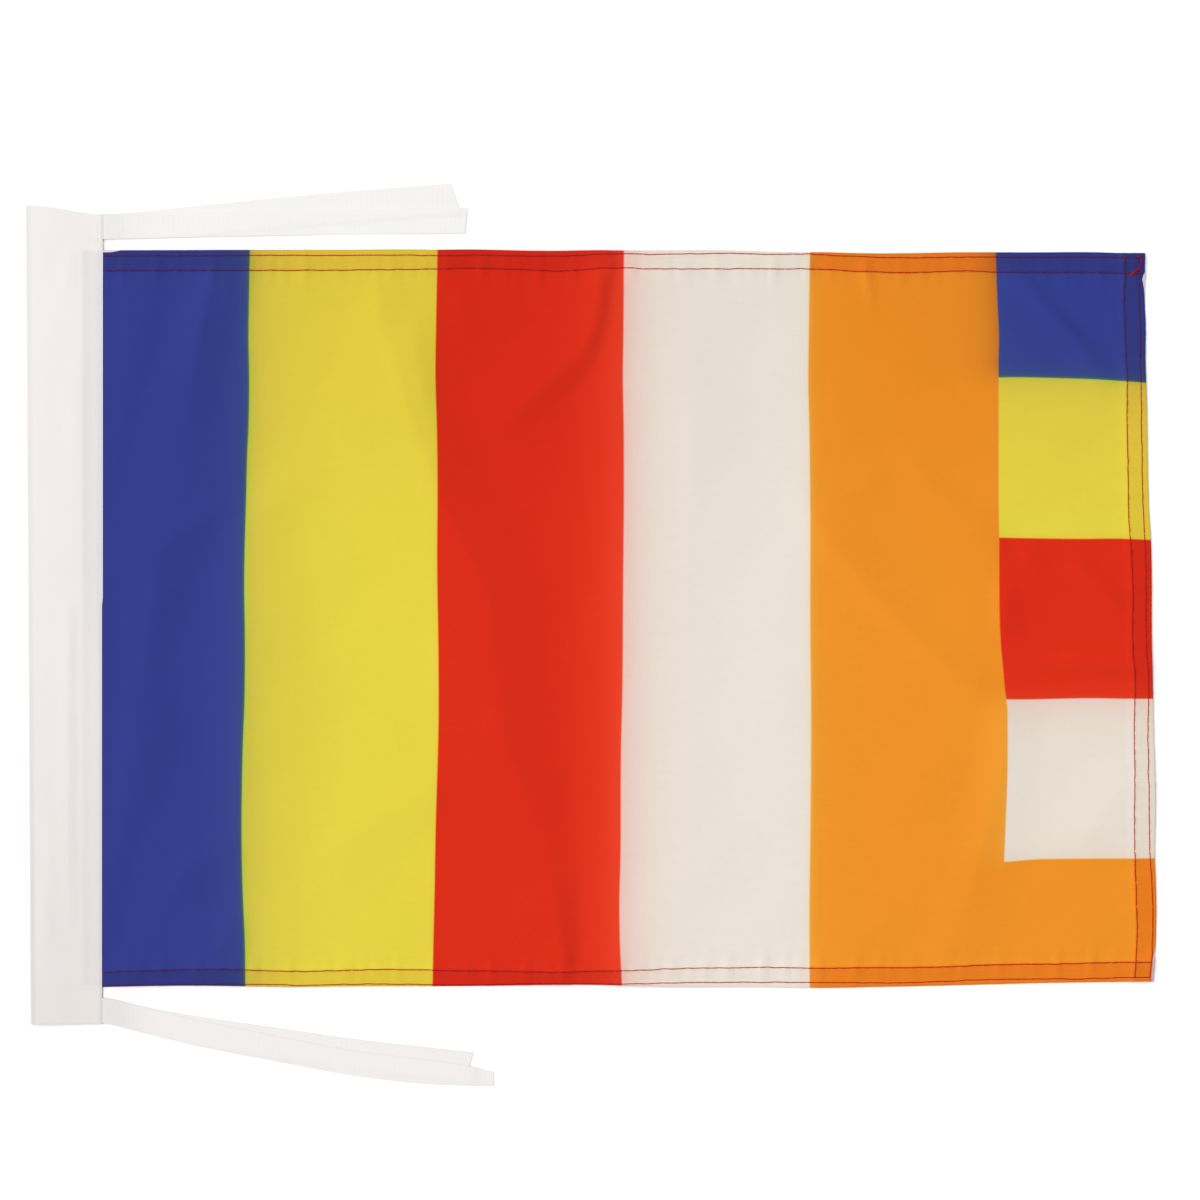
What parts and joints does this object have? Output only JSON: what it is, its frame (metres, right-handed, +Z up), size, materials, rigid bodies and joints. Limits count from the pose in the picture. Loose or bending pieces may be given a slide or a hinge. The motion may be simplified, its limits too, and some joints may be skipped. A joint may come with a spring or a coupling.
{
  "type": "flag with heading tape and ribbon ties",
  "caption": "Small striped flag laid flat, face up, with hemmed edges, a folded white heading tape at the hoist and ribbon ties at its corners.",
  "frame": {"origin": "middle of the whole flag's box, on the surface that it lies on", "axes": "+X from the heading towards the fly, +Y towards the flag's upper edge, +Z up out of its face"},
  "size_m": [0.4538, 0.3618, 0.0051],
  "materials": {
    "printed_cloth": "thin woven polyester, printed in upright stripes of blue, yellow, red, white and orange, matt with a faint sheen",
    "heading_tape": "white woven tape, matt",
    "tie_ribbon": "white woven ribbon, soft sheen",
    "hem_thread": "dark red sewing thread"
  },
  "bodies": {
    "root": {"flag_panel": "printed_cloth", "heading_sleeve": "heading_tape", "upper_tie": "tie_ribbon", "lower_tie": "tie_ribbon"}
  },
  "joints": []
}
